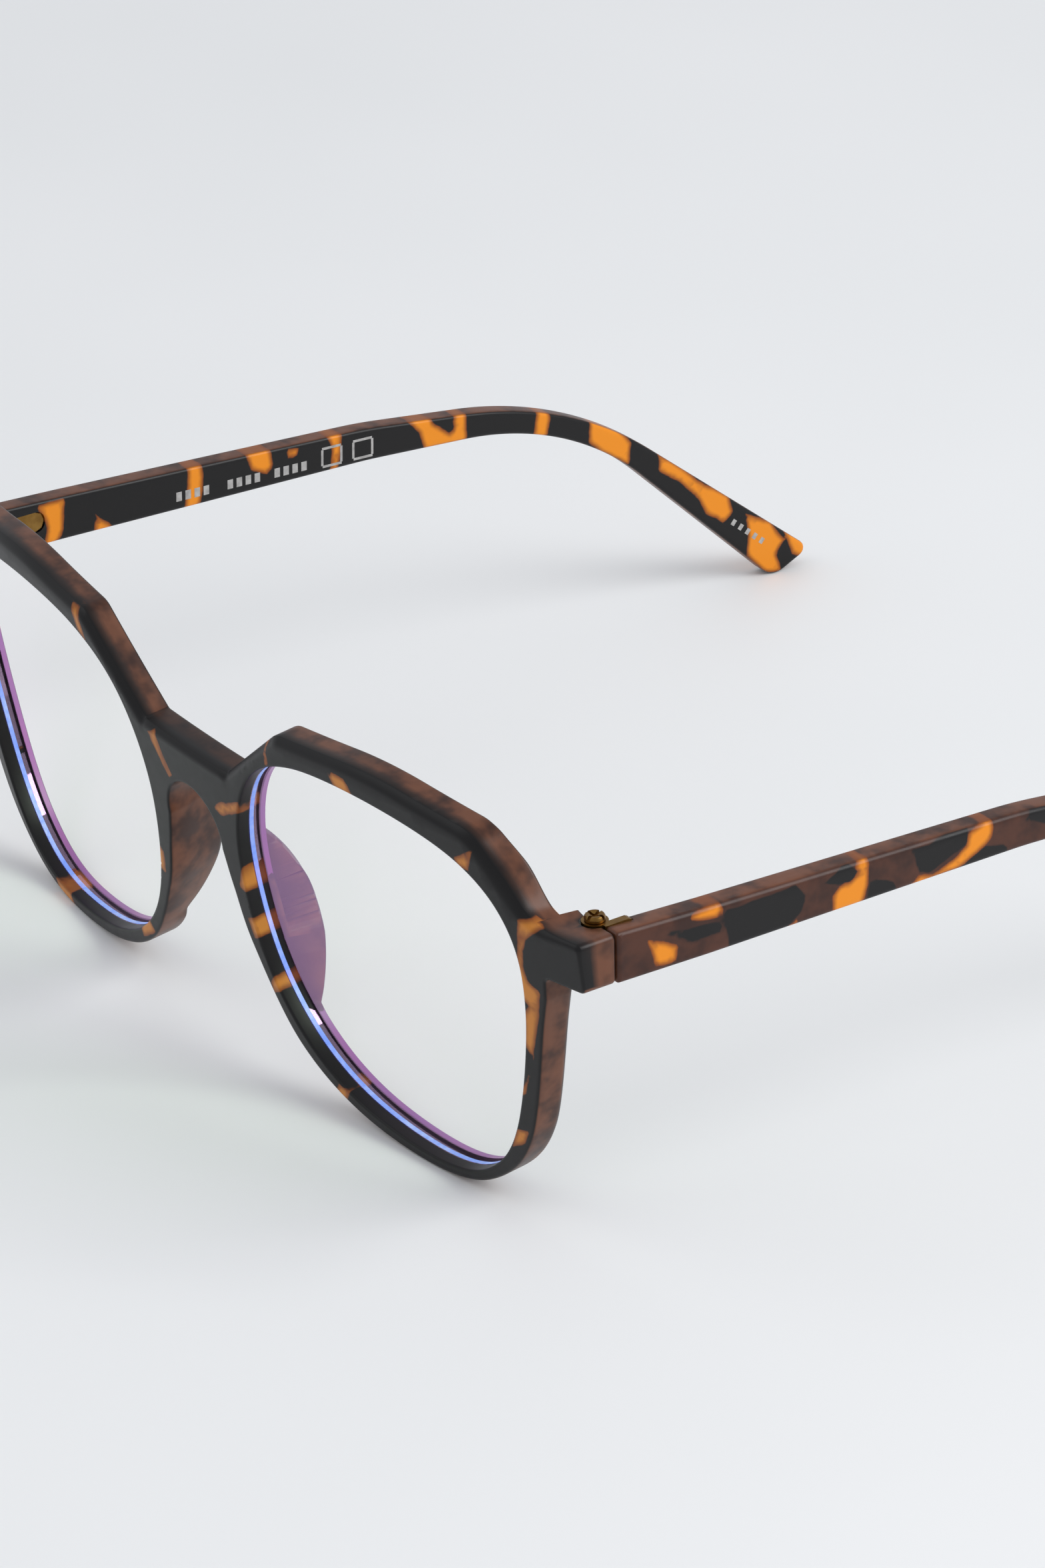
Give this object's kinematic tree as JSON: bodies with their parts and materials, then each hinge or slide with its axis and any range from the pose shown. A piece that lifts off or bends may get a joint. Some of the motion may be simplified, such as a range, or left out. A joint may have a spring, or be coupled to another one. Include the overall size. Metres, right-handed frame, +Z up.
{
  "type": "spectacles",
  "caption": "Full-rim spectacles in matte tortoiseshell plastic: angular rounded rims, keyhole bridge with moulded nose pads, clear coated lenses and folding temples with curved tips.",
  "frame": {"origin": "middle of the footprint, on the table that the open spectacles stand on", "axes": "+X is the wearer's left, +Y runs back along the open temples, +Z is up"},
  "size_m": [0.1456, 0.1454, 0.0537],
  "materials": {
    "tortoiseshell": "satin-matte mottled brown-black with translucent amber patches",
    "lens": "clear, with a faint blue-violet anti-reflective coating",
    "hinge_metal": "dull antique bronze"
  },
  "bodies": {
    "front": {"front_frame": "tortoiseshell", "lens_left": "lens", "lens_right": "lens", "front_leaf_left": "hinge_metal", "front_leaf_right": "hinge_metal"},
    "temple_left": {"temple_left": "tortoiseshell", "temple_leaf_left": "hinge_metal", "hinge_screw_left": "hinge_metal"},
    "temple_right": {"temple_right": "tortoiseshell", "temple_leaf_right": "hinge_metal", "hinge_screw_right": "hinge_metal"}
  },
  "joints": [
    {"name": "temple_left_hinge", "type": "hinge", "parent": "front", "child": "temple_left", "pos_m": [0.0686, -0.05963, 0.04], "axis": [0, 0, 1], "range_deg": [0, 88]},
    {"name": "temple_right_hinge", "type": "hinge", "parent": "front", "child": "temple_right", "pos_m": [-0.0686, -0.05963, 0.04], "axis": [0, 0, -1], "range_deg": [0, 82]}
  ]
}
